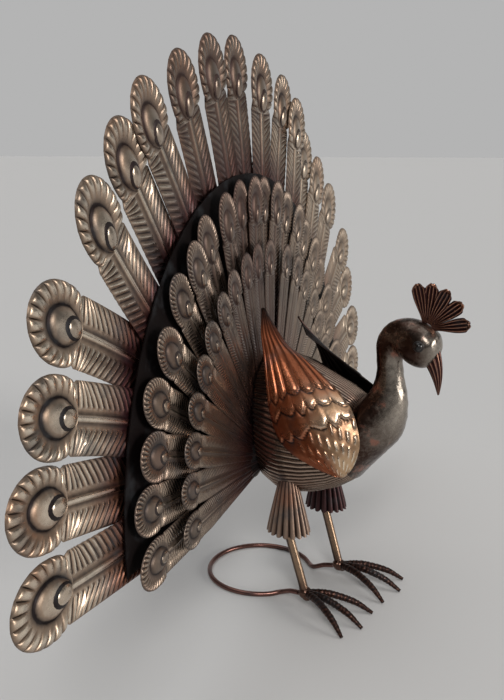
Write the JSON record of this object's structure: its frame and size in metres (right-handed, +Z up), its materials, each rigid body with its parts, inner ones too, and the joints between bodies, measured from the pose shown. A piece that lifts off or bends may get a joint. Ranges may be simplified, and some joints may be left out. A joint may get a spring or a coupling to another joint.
{
  "type": "peacock figurine",
  "caption": "Sheet-metal peacock figurine with a fanned tail of stamped eye feathers, folded copper wings, crest, rod legs and a ground wire ring.",
  "frame": {"origin": "centre of the bounding box in X and Y, at its lowest point, where the toes and the wire ring stand", "axes": "+X is the way the fan's face looks, +Y runs along the fan's spread to its left side as the bird sees it, +Z up; the bird itself is turned 13.7 degrees from +X towards -Y"},
  "size_m": [0.1624, 0.5122, 0.3317],
  "materials": {
    "antique_brass": "antiqued brass sheet, warm highlights on raised barbs, dark brown and burgundy in the recesses",
    "grey_brass": "dull grey-taupe antiqued brass sheet, burgundy near the roots",
    "dark_brass": "dark antiqued brass, ridged or welded, dull",
    "hammered_bronze": "dark hammered bronze with copper patches, semi-gloss",
    "copper": "copper-orange sheet, bright gold at the lower front, black in the recesses",
    "dark_copper": "dark reddish bronze with lighter rib edges",
    "black_glaze": "glossy near-black bead"
  },
  "bodies": {
    "root": {"backing_sheet": "dark_brass", "base_ring": "dark_copper", "beak": "dark_copper", "body": "dark_brass", "crest": "dark_copper", "eye_left": "black_glaze", "eye_right": "black_glaze", "feather_middle_01": "grey_brass", "feather_middle_02": "grey_brass", "feather_middle_03": "grey_brass", "feather_middle_04": "grey_brass", "feather_middle_05": "grey_brass", "feather_middle_06": "grey_brass", "feather_middle_07": "grey_brass", "feather_middle_08": "grey_brass", "feather_middle_09": "grey_brass", "feather_middle_10": "grey_brass", "feather_middle_11": "grey_brass", "feather_middle_12": "grey_brass", "feather_middle_13": "grey_brass", "feather_middle_14": "grey_brass", "feather_middle_15": "grey_brass", "feather_middle_16": "grey_brass", "feather_middle_17": "grey_brass", "feather_middle_18": "grey_brass", "feather_middle_19": "grey_brass", "feather_middle_20": "grey_brass", "feather_middle_21": "grey_brass", "feather_middle_22": "grey_brass", "feather_outer_01": "antique_brass", "feather_outer_02": "antique_brass", "feather_outer_03": "antique_brass", "feather_outer_04": "antique_brass", "feather_outer_05": "antique_brass", "feather_outer_06": "antique_brass", "feather_outer_07": "antique_brass", "feather_outer_08": "antique_brass", "feather_outer_09": "antique_brass", "feather_outer_10": "antique_brass", "feather_outer_11": "antique_brass", "feather_outer_12": "antique_brass", "feather_outer_13": "antique_brass", "feather_outer_14": "antique_brass", "feather_outer_15": "antique_brass", "feather_outer_16": "antique_brass", "feather_outer_17": "antique_brass", "feather_outer_18": "antique_brass", "feather_outer_19": "antique_brass", "feather_outer_20": "antique_brass", "feathers_inner": "grey_brass", "hub_plate": "dark_brass", "leg_left": "dark_brass", "leg_right": "dark_brass", "neck_and_head": "hammered_bronze", "skirt_left": "dark_brass", "skirt_right": "dark_brass", "wing_left": "copper", "wing_right": "copper"}
  },
  "joints": []
}
